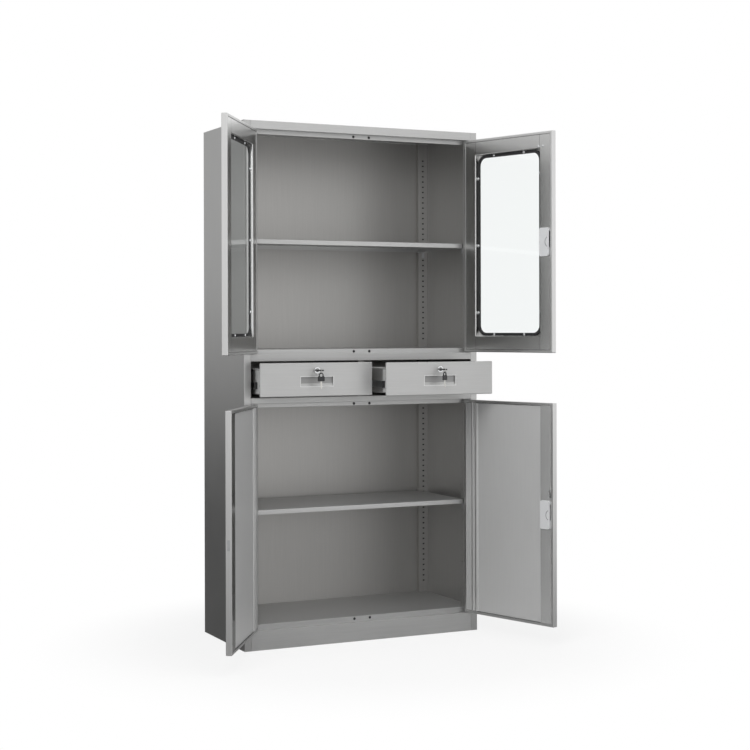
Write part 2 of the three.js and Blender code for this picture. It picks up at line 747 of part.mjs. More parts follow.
  // Spare key: hangs by a wire ring from the eye of the bow.
  const ringZ = lockZ + halfKey + RING_WIRE + SEAM - RING_RADIUS;
  const ringY = bowTip + BOW_EYE_MARGIN / 2;
  const wire = disc(RING_WIRE);
  const circle = new THREE.CatmullRomCurve3(Array.from({ length: RING_STEPS }, (_, i) => {
    const turn = (2 * Math.PI * i) / RING_STEPS;
    const y = ringY + RING_RADIUS * Math.cos(turn);
    return new THREE.Vector3(middle, y, ringZ + RING_RADIUS * Math.sin(turn));
  }), true);
  const ring = new THREE.ExtrudeGeometry(wire, {
    extrudePath: circle, steps: RING_STEPS, bevelEnabled: false, curveSegments: 3,
  });
  const headTop = ringZ - RING_RADIUS + RING_WIRE / 2;
  const headBottom = headTop - SPARE_HEAD_HEIGHT;
  const spareHalf = SPARE_THICKNESS / 2;
  const head = roundedRect(
    SPARE_HEAD_WIDTH, SPARE_HEAD_HEIGHT, SPARE_HEAD_WIDTH / 3,
    middle, (headTop + headBottom) / 2,
  );
  const eyeZ = headTop - SPARE_EYE_MARGIN - SPARE_EYE_RADIUS;
  head.holes.push(disc(SPARE_EYE_RADIUS, middle, eyeZ));
  const spare = join(
    alongY(head, ringY - spareHalf, ringY + spareHalf),
    block(
      middle - SPARE_BLADE_WIDTH / 2, middle + SPARE_BLADE_WIDTH / 2,
      ringY - spareHalf / 2, ringY + spareHalf / 2,
      headBottom - SPARE_BLADE_LENGTH, headBottom + SHEET,
    ),
  );
  spare.translate(-middle, -ringY, 0);
  spare.rotateZ(THREE.MathUtils.degToRad(spareTurn));
  spare.translate(middle, ringY, 0);
  group.add(piece(`${hand}_drawer_spare_key`, join(ring, spare), 'blackPlastic'));
  return group;
}

carcass.add(drawer('left', -1, LEFT_PULLED, LEFT_SPARE_TURN));
carcass.add(drawer('right', 1, RIGHT_PULLED, RIGHT_SPARE_TURN));

// Doors, drawn closed with the hinge axis at x = y = 0 and the foot at z = 0.
// The value across is +1 where the door reaches towards +X from its hinge, and -1 where it reaches back.
const outerFace = -PIVOT_DEPTH;
const innerFace = outerFace + DOOR_THICKNESS;
const skinBack = outerFace + DOOR_SHEET;
const linerFace = innerFace - DOOR_SHEET - SEAM;
const hingeEdge = -PIVOT_INSET;
const freeEdge = doorWidth - PIVOT_INSET;
const stileMiddle = freeEdge - DOOR_LIP - SEAM - LOCK_INSET;
const pinHoleRadius = PIN_RADIUS + PIN_CLEARANCE;

function doorBlock(across, x0, x1, y0, y1, z0, z1) {
  return block(across * x0, across * x1, y0, y1, z0, z1);
}

// Cut-outs that a locking door needs: one in its skin for the pull, one in its inner face for the barrel.
function lockCuts(across, height) {
  const x = across * stileMiddle;
  const z = height / 2;
  const room = BARREL_CLEARANCE;
  return [
    alongY(
      roundedRect(
        PULL_CUP_WIDTH + 2 * (PULL_WALL + room), PULL_CUP_HEIGHT + 2 * (PULL_WALL + room),
        PULL_RADIUS, x, z - PULL_CUP_DROP,
      ),
      outerFace - DOOR_SHEET, skinBack + SEAM,
    ),
    rodY(BOSS_RADIUS + room, x, z + BARREL_RISE, outerFace - DOOR_SHEET, skinBack + SEAM),
    rodY(BARREL_RADIUS + room, x, z + BARREL_RISE, linerFace - DOOR_SHEET - SEAM, innerFace + DOOR_SHEET),
  ];
}

// Pull, barrel with its cam, and the white cover over the lock inside the door.
function lockPieces(group, level, across, height) {
  const x = across * stileMiddle;
  const z = height / 2;
  const barrelZ = z + BARREL_RISE;
  const cupZ = z - PULL_CUP_DROP;
  const seat = outerFace - SEAM;
  const cupBack = outerFace + PULL_CUP_DEPTH;
  group.add(piece(`${level}_right_pull`, cut(
    join(
      alongY(roundedRect(PULL_WIDTH, PULL_HEIGHT, PULL_RADIUS, x, z), seat - PULL_FLANGE, seat),
      alongY(
        roundedRect(PULL_CUP_WIDTH + 2 * PULL_WALL, PULL_CUP_HEIGHT + 2 * PULL_WALL, PULL_RADIUS, x, cupZ),
        seat - PULL_FLANGE / 2, cupBack + PULL_WALL,
      ),
      rodY(BOSS_RADIUS, x, barrelZ, seat - PULL_FLANGE / 2, cupBack),
    ),
    alongY(
      roundedRect(PULL_CUP_WIDTH, PULL_CUP_HEIGHT, PULL_RADIUS - PULL_WALL, x, cupZ),
      seat - 2 * PULL_FLANGE, cupBack,
    ),
    rodY(BARREL_RADIUS + BARREL_CLEARANCE, x, barrelZ, seat - 2 * PULL_FLANGE, cupBack + PULL_WALL),
  ), 'greyPlastic'));

  const camSeat = innerFace + SEAM;
  const barrel = join(
    rodY(BARREL_RADIUS, x, barrelZ, seat - PULL_FLANGE - BARREL_FACE, camSeat + CAM_THICKNESS),
    block(
      x - CAM_WIDTH / 2, x + CAM_WIDTH / 2,
      camSeat, camSeat + CAM_THICKNESS,
      barrelZ - CAM_REACH, barrelZ,
    ),
  );
  group.add(piece(`${level}_right_lock_barrel`, barrel, 'chrome'));

  const coverSeat = linerFace + SEAM;
  const coverBack = innerFace + COVER_PROUD;
  const slotHalf = CAM_WIDTH / 2 + COVER_WALL;
  group.add(piece(`${level}_right_lock_cover`, cut(
    alongY(roundedRect(COVER_WIDTH, COVER_HEIGHT, COVER_RADIUS, x, z), coverSeat, coverBack),
    alongY(
      roundedRect(
        COVER_WIDTH - 2 * COVER_WALL, COVER_HEIGHT - 2 * COVER_WALL,
        COVER_RADIUS - COVER_WALL, x, z,
      ),
      coverSeat - SHEET, coverBack - COVER_WALL,
    ),
    block(
      x, x + across * COVER_WIDTH,
      coverSeat - SHEET, camSeat + CAM_THICKNESS + SEAM,
      barrelZ - CAM_REACH, barrelZ + slotHalf,
    ),
  ), 'whitePlastic'));
}

// Door skin: a folded pan with a narrow lip turned in round its back, pierced for the hinge pins.
function doorPan(across, height, cuts) {
  return cut(
    doorBlock(across, hingeEdge, freeEdge, outerFace, innerFace, 0, height),
    doorBlock(
      across, hingeEdge + DOOR_SHEET, freeEdge - DOOR_SHEET,
      skinBack, innerFace - DOOR_SHEET,
      DOOR_SHEET, height - DOOR_SHEET,
    ),
    doorBlock(
      across, hingeEdge + DOOR_LIP, freeEdge - DOOR_LIP,
      skinBack, innerFace + DOOR_SHEET,
      DOOR_LIP, height - DOOR_LIP,
    ),
    rodZ(pinHoleRadius, 0, 0, -DOOR_SHEET, DOOR_SHEET + SEAM),
    rodZ(pinHoleRadius, 0, 0, height - DOOR_SHEET - SEAM, height + DOOR_SHEET),
    ...cuts,
  );
}

// Upper door: skin with a round-cornered window, folded liner behind it, glass in a black rubber seal.
function upperDoor(hand, across, locking) {
  const group = new THREE.Group();
  const height = upperDoorHeight;
  const middleX = across * (hingeEdge + freeEdge) / 2;
  const middleZ = height / 2;
  const recessWidth = doorWidth - 2 * LINER_STILE;
  const recessHeight = height - 2 * LINER_STILE;
  const windowWidth = recessWidth - 2 * WINDOW_INSET;
  const windowHeight = recessHeight - 2 * WINDOW_INSET;
  const sized = (grow) => roundedRect(
    windowWidth + 2 * grow, windowHeight + 2 * grow, WINDOW_RADIUS + grow, middleX, middleZ,
  );

  const lockHoles = locking ? lockCuts(across, height) : [];
  group.add(piece(`upper_${hand}_door_skin`, doorPan(across, height, [
    alongY(sized(0), outerFace - DOOR_SHEET, skinBack + DOOR_SHEET),
    ...lockHoles,
  ]), 'stainless'));

  const edge = DOOR_SHEET + SEAM;
  const recessX0 = hingeEdge + LINER_STILE;
  const recessX1 = freeEdge - LINER_STILE;
  const linerFront = skinBack + SEAM;
  const liner = cut(
    doorBlock(across, hingeEdge + edge, freeEdge - edge, linerFront, linerFace, edge, height - edge),
    doorBlock(
      across, recessX0, recessX1,
      linerFront - SHEET, innerFace,
      LINER_STILE, height - LINER_STILE,
    ),
    cut(
      doorBlock(across, hingeEdge, freeEdge, linerFront - SHEET, linerFace - DOOR_SHEET, 0, height),
      doorBlock(
        across, recessX0 - DOOR_SHEET, recessX1 + DOOR_SHEET,
        linerFront - 2 * SHEET, innerFace,
        LINER_STILE - DOOR_SHEET, height - LINER_STILE + DOOR_SHEET,
      ),
    ),
    ...lockHoles,
  );
  group.add(piece(`upper_${hand}_door_liner`, liner, 'stainless'));

  const sealFront = skinBack + SEAM;
  const glassFront = sealFront + (GASKET_THICKNESS - GLASS_THICKNESS) / 2;
  const seal = sized(GASKET_OVERHANG);
  seal.holes.push(sized(-GASKET_LIP));
  const gasket = cut(
    alongY(seal, sealFront, sealFront + GASKET_THICKNESS),
    alongY(
      sized(GLASS_GRIP + GLAZING_CLEARANCE),
      glassFront - GLAZING_CLEARANCE, glassFront + GLASS_THICKNESS + GLAZING_CLEARANCE,
    ),
  );
  group.add(piece(`upper_${hand}_door_seal`, gasket, 'rubber'));
  group.add(piece(
    `upper_${hand}_door_glass`,
    alongY(sized(GLASS_GRIP), glassFront, glassFront + GLASS_THICKNESS),
    'glass',
  ));
  if (locking) lockPieces(group, 'upper', across, height);
  return group;
}

// Lower door: a folded pan, lined with one sheet whose middle is pressed in between two bands.
function lowerDoor(hand, across, locking) {
  const group = new THREE.Group();
  const height = lowerDoorHeight;
  const lockHoles = locking ? lockCuts(across, height) : [];
  group.add(piece(`lower_${hand}_door_skin`, doorPan(across, height, lockHoles), 'stainless'));

  const edge = DOOR_SHEET + SEAM;
  const bandX0 = hingeEdge + HINGE_BAND;
  const bandX1 = freeEdge - FREE_BAND;
  const sunk = linerFace - PANEL_SINK;
  const pressed = bentSheet([
    [across * (hingeEdge + edge), linerFace],
    [across * bandX0, linerFace],
    [across * bandX0, sunk],
    [across * bandX1, sunk],
    [across * bandX1, linerFace],
    [across * (freeEdge - edge), linerFace],
  ], -across * DOOR_SHEET);
  const panel = alongZ(pressed, edge, height - edge);
  group.add(piece(
    `lower_${hand}_door_panel`,
    locking ? cut(panel, ...lockHoles) : panel,
    'stainless',
  ));
  if (locking) lockPieces(group, 'lower', across, height);
  return group;
}

// Hangs a door on its hinge axis, swung open by an angle in degrees.
function hang(group, side, foot, angle) {
  group.position.set(side * pivotX, pivotY, foot + DOOR_GAP);
  group.rotation.z = side * THREE.MathUtils.degToRad(angle);
  carcass.add(group);
}

hang(upperDoor('left', 1, false), -1, upperBottom, UPPER_LEFT_ANGLE);
hang(upperDoor('right', -1, true), 1, upperBottom, UPPER_RIGHT_ANGLE);
hang(lowerDoor('left', 1, false), -1, PLINTH_HEIGHT, LOWER_LEFT_ANGLE);
hang(lowerDoor('right', -1, true), 1, PLINTH_HEIGHT, LOWER_RIGHT_ANGLE);

// The whole cabinet, moved so that the middle of its front foot flange lies at the origin.
const cabinet = new THREE.Group();
cabinet.add(carcass);
carcass.position.y = -(front + FOOT_FLANGE / 2);

export default cabinet;
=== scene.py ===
import json
import math

import bmesh
import bpy
from mathutils import Matrix, Vector


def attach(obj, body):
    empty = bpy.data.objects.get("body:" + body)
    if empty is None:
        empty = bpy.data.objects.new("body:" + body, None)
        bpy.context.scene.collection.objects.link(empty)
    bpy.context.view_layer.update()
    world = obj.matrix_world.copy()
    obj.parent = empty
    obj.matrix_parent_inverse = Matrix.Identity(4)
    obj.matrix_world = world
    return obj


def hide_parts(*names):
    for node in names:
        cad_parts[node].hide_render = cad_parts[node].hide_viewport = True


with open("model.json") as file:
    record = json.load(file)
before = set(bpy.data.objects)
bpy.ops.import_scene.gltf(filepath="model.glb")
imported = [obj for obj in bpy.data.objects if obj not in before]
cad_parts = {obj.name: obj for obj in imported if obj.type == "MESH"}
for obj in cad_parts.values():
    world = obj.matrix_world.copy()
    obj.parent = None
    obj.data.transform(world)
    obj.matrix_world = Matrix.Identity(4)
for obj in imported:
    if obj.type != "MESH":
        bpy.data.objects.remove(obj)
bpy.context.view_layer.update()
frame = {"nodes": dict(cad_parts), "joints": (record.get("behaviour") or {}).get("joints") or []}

# Studio floor, a pale sheet that runs out into white under soft light.
# It keeps a faint shadow round the plinth and goes to plain white further out.
scene = bpy.context.scene
scene.view_settings.view_transform = "Standard"


def wire(tree, start, end):
    tree.links.new(start, end)


def seen_directly(tree):
    path = tree.nodes.new("ShaderNodeLightPath")
    either = tree.nodes.new("ShaderNodeMath")
    either.operation = "MAXIMUM"
    wire(tree, path.outputs["Is Camera Ray"], either.inputs[0])
    wire(tree, path.outputs["Is Glossy Ray"], either.inputs[1])
    mask = tree.nodes.new("ShaderNodeMath")
    mask.operation = "MAXIMUM"
    wire(tree, either.outputs[0], mask.inputs[0])
    wire(tree, path.outputs["Is Transmission Ray"], mask.inputs[1])
    return mask.outputs[0]


floor_paint = bpy.data.materials.new("pale_floor")
floor_paint.use_nodes = True
tree = floor_paint.node_tree
tree.nodes.clear()
place = tree.nodes.new("ShaderNodeTexCoord")
distance = tree.nodes.new("ShaderNodeVectorMath")
distance.operation = "LENGTH"
wire(tree, place.outputs["Object"], distance.inputs[0])
fade = tree.nodes.new("ShaderNodeMapRange")
fade.interpolation_type = "SMOOTHSTEP"
fade.inputs["From Min"].default_value = 0.6
fade.inputs["From Max"].default_value = 1.2
fade.inputs["To Min"].default_value = 0.80
fade.inputs["To Max"].default_value = 1.0
wire(tree, distance.outputs["Value"], fade.inputs["Value"])
matte = tree.nodes.new("ShaderNodeBsdfDiffuse")
matte.inputs["Color"].default_value = (0.86, 0.86, 0.85, 1)
white = tree.nodes.new("ShaderNodeEmission")
white.inputs["Color"].default_value = (1, 1, 1, 1)
white.inputs["Strength"].default_value = 1.0
shown = tree.nodes.new("ShaderNodeMixShader")
wire(tree, fade.outputs["Result"], shown.inputs[0])
wire(tree, matte.outputs[0], shown.inputs[1])
wire(tree, white.outputs[0], shown.inputs[2])
choice = tree.nodes.new("ShaderNodeMixShader")
wire(tree, seen_directly(tree), choice.inputs[0])
wire(tree, matte.outputs[0], choice.inputs[1])
wire(tree, shown.outputs[0], choice.inputs[2])
out = tree.nodes.new("ShaderNodeOutputMaterial")
wire(tree, choice.outputs[0], out.inputs["Surface"])

bm = bmesh.new()
bmesh.ops.create_grid(bm, x_segments=1, y_segments=1, size=14)
floor_mesh = bpy.data.meshes.new("floor")
bm.to_mesh(floor_mesh)
bm.free()
floor_mesh.materials.append(floor_paint)
floor = bpy.data.objects.new("floor", floor_mesh)
scene.collection.objects.link(floor)

world = bpy.data.worlds.new("white_room")
world.use_nodes = True
scene.world = world
tree = world.node_tree
tree.nodes.clear()
air = tree.nodes.new("ShaderNodeBackground")
air.inputs["Color"].default_value = (0.96, 0.97, 1.0, 1)
air.inputs["Strength"].default_value = 0.42
backdrop = tree.nodes.new("ShaderNodeBackground")
backdrop.inputs["Color"].default_value = (1, 1, 1, 1)
backdrop.inputs["Strength"].default_value = 1.0
choice = tree.nodes.new("ShaderNodeMixShader")
wire(tree, seen_directly(tree), choice.inputs[0])
wire(tree, air.outputs[0], choice.inputs[1])
wire(tree, backdrop.outputs[0], choice.inputs[2])
out = tree.nodes.new("ShaderNodeOutputWorld")
wire(tree, choice.outputs[0], out.inputs["Surface"])

# Camera at the photograph's place: left of the cabinet, at chest height, with a long lens.
# Three softboxes light the cabinet from the upper left and the front right.
lens = bpy.data.cameras.new("photo_lens")
lens.sensor_width = 36
lens.lens = 76.215
lens.shift_y = -0.0538
camera = bpy.data.objects.new("photo_camera", lens)
scene.collection.objects.link(camera)
yaw = 0.4493
pitch = -0.0036
roll = -0.0022
aim = Vector((math.sin(yaw) * math.cos(pitch), math.cos(yaw) * math.cos(pitch), math.sin(pitch)))
camera.location = (-2.3806, -5.0378, 1.0916)
camera.rotation_mode = "QUATERNION"
camera.rotation_quaternion = aim.to_track_quat("-Z", "Y") @ Matrix.Rotation(roll, 3, "Z").to_quaternion()
scene.camera = camera

for name, spot, target, size, power in (
    ("softbox_left", (-2.6, -2.8, 3.5), (0, 0.1, 1.0), 2.4, 95),
    ("softbox_front", (2.2, -4.6, 2.8), (0, 0.1, 0.9), 2.4, 16),
    ("softbox_above", (0.2, -1.2, 4.2), (0, 0.1, 1.0), 2.0, 40),
):
    lamp = bpy.data.lights.new(name, "AREA")
    lamp.size = size
    lamp.energy = power
    softbox = bpy.data.objects.new(name, lamp)
    softbox.location = spot
    softbox.rotation_euler = (Vector(target) - Vector(spot)).to_track_quat("-Z", "Y").to_euler()
    softbox.visible_glossy = False
    scene.collection.objects.link(softbox)

# Grey cards, which only reflections show: three lie on the floor and one stands behind on the left.
# The polished steel mirrors them, so that it darkens towards the floor as it does in a real room.
CARD_LIFT = 0.001
CARD_REACH = 9
CARD_JOINT = -0.5


def floor_corners(left, right, front, back):
    return [(x, y, CARD_LIFT) for x, y in ((left, front), (right, front), (right, back), (left, back))]


def grey_card(name, axis, start, stop, low, high, corners):
    paint = bpy.data.materials.new(name)
    paint.use_nodes = True
    tree = paint.node_tree
    tree.nodes.clear()
    place = tree.nodes.new("ShaderNodeTexCoord")
    split = tree.nodes.new("ShaderNodeSeparateXYZ")
    wire(tree, place.outputs["Object"], split.inputs[0])
    height = tree.nodes.new("ShaderNodeMapRange")
    height.interpolation_type = "SMOOTHSTEP"
    height.inputs["From Min"].default_value = start
    height.inputs["From Max"].default_value = stop
    height.inputs["To Min"].default_value = low
    height.inputs["To Max"].default_value = high
    wire(tree, split.outputs[axis], height.inputs["Value"])
    glow = tree.nodes.new("ShaderNodeEmission")
    wire(tree, height.outputs["Result"], glow.inputs["Strength"])
    out = tree.nodes.new("ShaderNodeOutputMaterial")
    wire(tree, glow.outputs[0], out.inputs["Surface"])
    bm = bmesh.new()
    bm.faces.new([bm.verts.new(corner) for corner in corners])
    mesh = bpy.data.meshes.new(name)
    bm.to_mesh(mesh)
    bm.free()
    mesh.materials.append(paint)
    card = bpy.data.objects.new(name, mesh)
    card.visible_camera = False
    card.visible_diffuse = False
    card.visible_shadow = False
    card.visible_transmission = False
    scene.collection.objects.link(card)


grey_card(
    "right_floor_card", "Y", -0.2, -3.2, 0.28, 0.95, floor_corners(CARD_JOINT, CARD_REACH, -CARD_REACH, 0),
)
grey_card(
    "left_floor_card", "Y", -0.2, -3.2, 0.26, 0.40, floor_corners(-CARD_REACH, CARD_JOINT, -CARD_REACH, 0),
)
grey_card(
    "back_floor_card", "Y", 0.0, 9.0, 0.11, 0.11, floor_corners(-CARD_REACH, CARD_REACH, 0, CARD_REACH),
)
grey_card(
    "left_card", "Z", 0.1, 1.5, 0.10, 0.62,
    ((-4.6, 1.4, 0.002), (-0.2, 3.6, 0.002), (-0.2, 3.6, 3.4), (-4.6, 1.4, 3.4)),
)

# Side panels: stainless sheet about a millimetre thick, brushed up and down.
# Each is one sheet folded into rear return, wall, front stile, door jamb, stop lip and slotted leg.
SHEET = 0.0012
BEND = 0.0030
UPRIGHT_GRAIN = (420, 420, 6)
LEVEL_GRAIN = (6, 420, 420)


def steel_grain():
    group = bpy.data.node_groups.new("brushed_grain", "ShaderNodeTree")
    for name, kind in (
        ("Stretch", "NodeSocketVector"), ("Roughness", "NodeSocketFloat"), ("Swing", "NodeSocketFloat"),
    ):
        group.interface.new_socket(name=name, in_out="INPUT", socket_type=kind)
    for name in ("Shade", "Roughness", "Height"):
        group.interface.new_socket(name=name, in_out="OUTPUT", socket_type="NodeSocketFloat")
    start = group.nodes.new("NodeGroupInput")
    end = group.nodes.new("NodeGroupOutput")
    place = group.nodes.new("ShaderNodeTexCoord")
    lay = group.nodes.new("ShaderNodeMapping")
    wire(group, place.outputs["Object"], lay.inputs["Vector"])
    wire(group, start.outputs["Stretch"], lay.inputs["Scale"])
    strokes = group.nodes.new("ShaderNodeTexNoise")
    strokes.inputs["Scale"].default_value = 1.0
    strokes.inputs["Detail"].default_value = 4.0
    strokes.inputs["Roughness"].default_value = 0.65
    wire(group, lay.outputs["Vector"], strokes.inputs["Vector"])
    smears = group.nodes.new("ShaderNodeTexNoise")
    smears.inputs["Scale"].default_value = 5.5
    smears.inputs["Detail"].default_value = 3.0
    smears.inputs["Distortion"].default_value = 0.6
    wire(group, place.outputs["Object"], smears.inputs["Vector"])
    shade = group.nodes.new("ShaderNodeMath")
    shade.operation = "MULTIPLY_ADD"
    shade.inputs[1].default_value = 0.75
    wire(group, strokes.outputs["Fac"], shade.inputs[0])
    faint = group.nodes.new("ShaderNodeMath")
    faint.operation = "MULTIPLY"
    faint.inputs[1].default_value = 0.25
    wire(group, smears.outputs["Fac"], faint.inputs[0])
    wire(group, faint.outputs[0], shade.inputs[2])
    wire(group, shade.outputs[0], end.inputs["Shade"])
    centred = group.nodes.new("ShaderNodeMath")
    centred.operation = "SUBTRACT"
    centred.inputs[1].default_value = 0.5
    wire(group, shade.outputs[0], centred.inputs[0])
    rough = group.nodes.new("ShaderNodeMath")
    rough.operation = "MULTIPLY_ADD"
    wire(group, centred.outputs[0], rough.inputs[0])
    wire(group, start.outputs["Swing"], rough.inputs[1])
    wire(group, start.outputs["Roughness"], rough.inputs[2])
    wire(group, rough.outputs[0], end.inputs["Roughness"])
    wire(group, strokes.outputs["Fac"], end.inputs["Height"])
    return group


grain = steel_grain()


def brushed_steel(name, stretch, dark, light, rough, swing=0.22, relief=0.10, metallic=1.0):
    paint = bpy.data.materials.new(name)
    paint.use_nodes = True
    tree = paint.node_tree
    metal = tree.nodes["Principled BSDF"]
    metal.inputs["Metallic"].default_value = metallic
    brush = tree.nodes.new("ShaderNodeGroup")
    brush.node_tree = grain
    brush.inputs["Stretch"].default_value = stretch
    brush.inputs["Roughness"].default_value = rough
    brush.inputs["Swing"].default_value = swing
    colour = tree.nodes.new("ShaderNodeMix")
    colour.data_type = "RGBA"
    colour.inputs["A"].default_value = (*dark, 1)
    colour.inputs["B"].default_value = (*light, 1)
    wire(tree, brush.outputs["Shade"], colour.inputs["Factor"])
    wire(tree, colour.outputs["Result"], metal.inputs["Base Color"])
    wire(tree, brush.outputs["Roughness"], metal.inputs["Roughness"])
    scratches = tree.nodes.new("ShaderNodeBump")
    scratches.inputs["Strength"].default_value = relief
    scratches.inputs["Distance"].default_value = 0.0003
    wire(tree, brush.outputs["Height"], scratches.inputs["Height"])
    wire(tree, scratches.outputs["Normal"], metal.inputs["Normal"])
    return paint


steel_upright = brushed_steel(
    "steel_brushed_upright", UPRIGHT_GRAIN, (0.42, 0.42, 0.415), (0.58, 0.58, 0.575), 0.36,
)
steel_level = brushed_steel(
    "steel_brushed_level", LEVEL_GRAIN, (0.42, 0.42, 0.415), (0.56, 0.56, 0.555), 0.38, metallic=0.65,
)


def merged_copy(node):
    """A copy of one solid, with its triangles joined into whole faces."""
    bm = bmesh.new()
    bm.from_mesh(frame["nodes"][node].data)
    bmesh.ops.remove_doubles(bm, verts=bm.verts, dist=1e-6)
    bmesh.ops.dissolve_limit(bm, angle_limit=math.radians(1), verts=bm.verts, edges=bm.edges)
    return bm


def round_edges(bm, edges, radius, segments):
    bmesh.ops.bevel(
        bm, geom=edges, offset=radius, offset_type="OFFSET", affect="EDGES",
        segments=segments, profile=0.5, material=-1, clamp_overlap=True,
    )


def broad(face):
    """True for the flat of a sheet, and false for its cut edge."""
    return 2 * face.calc_area() / face.calc_perimeter() > 1.6 * SHEET


def folded_copy(node, bend):
    """A copy of one folded sheet, with its folds rounded outside and inside."""
    bm = merged_copy(node)
    for outside, radius in ((True, bend), (False, bend - SHEET)):
        folds = [
            edge for edge in bm.edges
            if len(edge.link_faces) == 2 and edge.is_convex == outside
            and edge.calc_face_angle(0) > 0.8 and all(broad(face) for face in edge.link_faces)
        ]
        round_edges(bm, folds, radius, 3)
    return bm


def settle(bm, name, body, paint, slot, *stands_for):
    """Makes a mesh into a piece of the cabinet, carried by one of its bodies."""
    for edge in bm.edges:
        edge.smooth = len(edge.link_faces) == 2 and edge.calc_face_angle(0) < math.radians(38)
    for face in bm.faces:
        face.smooth = True
    mesh = bpy.data.meshes.new(name)
    bm.to_mesh(mesh)
    bm.free()
    mesh.materials.append(paint)
    piece = bpy.data.objects.new(name, mesh)
    scene.collection.objects.link(piece)
    even = piece.modifiers.new("even_faces", "WEIGHTED_NORMAL")
    even.keep_sharp = True
    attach(piece, body)
    if stands_for:
        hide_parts(*stands_for)


def fold(node, name, body, paint, bend=BEND):
    settle(folded_copy(node, bend), name, body, paint, "stainless", node)


for hand in ("left", "right"):
    fold(f"{hand}_side_panel", f"{hand}_side", "carcass", steel_upright)

# Back panel: one plain sheet, spot-welded between the rear returns of the sides.
# It is duller than the doors, because it keeps the finish that the sheet was rolled with, and its colour is
# set darker as painted shade for the inside of the cabinet.
SOFT_EDGE = 0.0003
# The same darker steel, partly painted shade, lines the uprights and the divider post.
steel_inside_painted_shade = brushed_steel(
    "steel_dull_painted_shade", UPRIGHT_GRAIN, (0.40, 0.394, 0.384), (0.52, 0.512, 0.499), 0.46, 0.16,
)


def dress(node, paint):
    """Gives a solid that keeps its shape its finish and slightly broken edges."""
    solid = frame["nodes"][node]
    for held in solid.material_slots:
        held.material = paint
    weld = solid.modifiers.new("weld", "WELD")
    weld.merge_threshold = 1e-6
    flatten = solid.modifiers.new("flatten", "DECIMATE")
    flatten.decimate_type = "DISSOLVE"
    flatten.angle_limit = math.radians(1)
    soften = solid.modifiers.new("soften", "BEVEL")
    soften.width = SOFT_EDGE
    soften.segments = 2
    soften.limit_method = "ANGLE"
    soften.angle_limit = math.radians(40)


dress("back_panel", steel_inside_painted_shade)

# Top panel and the decks: sheet folded at the front into header, rails and plinth, brushed across.
# They are welded between the stiles, so a hair line shows where a rail meets a stile.
for node in ("top_panel", "upper_deck", "drawer_deck", "bottom_deck"):
    fold(node, f"{node}_sheet", "carcass", steel_level)

# Door bumpers: black rubber buttons pushed through the stop lips, either side of the middle.
# A closing door lands on them, so that steel never meets steel.
LIP_FRONT = 0.008
BUMPER_ASIDE = 0.030


def moulded_speck():
    group = bpy.data.node_groups.new("moulded_speck", "ShaderNodeTree")
    for name in ("Scale", "Detail", "Smooth", "Dull"):
        group.interface.new_socket(name=name, in_out="INPUT", socket_type="NodeSocketFloat")
    for name in ("Shade", "Roughness"):
        group.interface.new_socket(name=name, in_out="OUTPUT", socket_type="NodeSocketFloat")
    start = group.nodes.new("NodeGroupInput")
    end = group.nodes.new("NodeGroupOutput")
    place = group.nodes.new("ShaderNodeTexCoord")
    speck = group.nodes.new("ShaderNodeTexNoise")
    wire(group, place.outputs["Object"], speck.inputs["Vector"])
    wire(group, start.outputs["Scale"], speck.inputs["Scale"])
    wire(group, start.outputs["Detail"], speck.inputs["Detail"])
    wire(group, speck.outputs["Fac"], end.inputs["Shade"])
    sheen = group.nodes.new("ShaderNodeMapRange")
    wire(group, speck.outputs["Fac"], sheen.inputs["Value"])
    wire(group, start.outputs["Smooth"], sheen.inputs["To Min"])
    wire(group, start.outputs["Dull"], sheen.inputs["To Max"])
    wire(group, sheen.outputs["Result"], end.inputs["Roughness"])
    return group


speckle = moulded_speck()


def moulded(name, dark, light, smooth, dull, scale=420, detail=3, relief=0.08, depth=0.0003):
    paint = bpy.data.materials.new(name)
    paint.use_nodes = True
    tree = paint.node_tree
    skin = tree.nodes["Principled BSDF"]
    speck = tree.nodes.new("ShaderNodeGroup")
    speck.node_tree = speckle
    speck.inputs["Scale"].default_value = scale
    speck.inputs["Detail"].default_value = detail
    speck.inputs["Smooth"].default_value = smooth
    speck.inputs["Dull"].default_value = dull
    tint = tree.nodes.new("ShaderNodeMix")
    tint.data_type = "RGBA"
    tint.inputs["A"].default_value = (*dark, 1)
    tint.inputs["B"].default_value = (*light, 1)
    wire(tree, speck.outputs["Shade"], tint.inputs["Factor"])
    wire(tree, tint.outputs["Result"], skin.inputs["Base Color"])
    wire(tree, speck.outputs["Roughness"], skin.inputs["Roughness"])
    pores = tree.nodes.new("ShaderNodeBump")
    pores.inputs["Strength"].default_value = relief
    pores.inputs["Distance"].default_value = depth
    wire(tree, speck.outputs["Shade"], pores.inputs["Height"])
    wire(tree, pores.outputs["Normal"], skin.inputs["Normal"])
    return paint


rubber = moulded(
    "black_rubber", (0.010, 0.010, 0.011), (0.032, 0.032, 0.033), 0.42, 0.68,
    scale=160, detail=4, relief=0.15, depth=0.0004,
)


def turned(profile, steps=24):
    """A turned solid: a half profile of (radius, height) points spun about Z."""
    bm = bmesh.new()
    points = [bm.verts.new((radius, 0, height)) for radius, height in profile]
    line = [bm.edges.new(pair) for pair in zip(points, points[1:])]
    bmesh.ops.spin(
        bm, geom=points + line, cent=(0, 0, 0), axis=(0, 0, 1), angle=2 * math.pi,
        steps=steps, use_merge=True, use_normal_flip=False, use_duplicate=False,
    )
    bmesh.ops.remove_doubles(bm, verts=bm.verts, dist=1e-6)
    bmesh.ops.recalc_face_normals(bm, faces=bm.faces)
    return bm


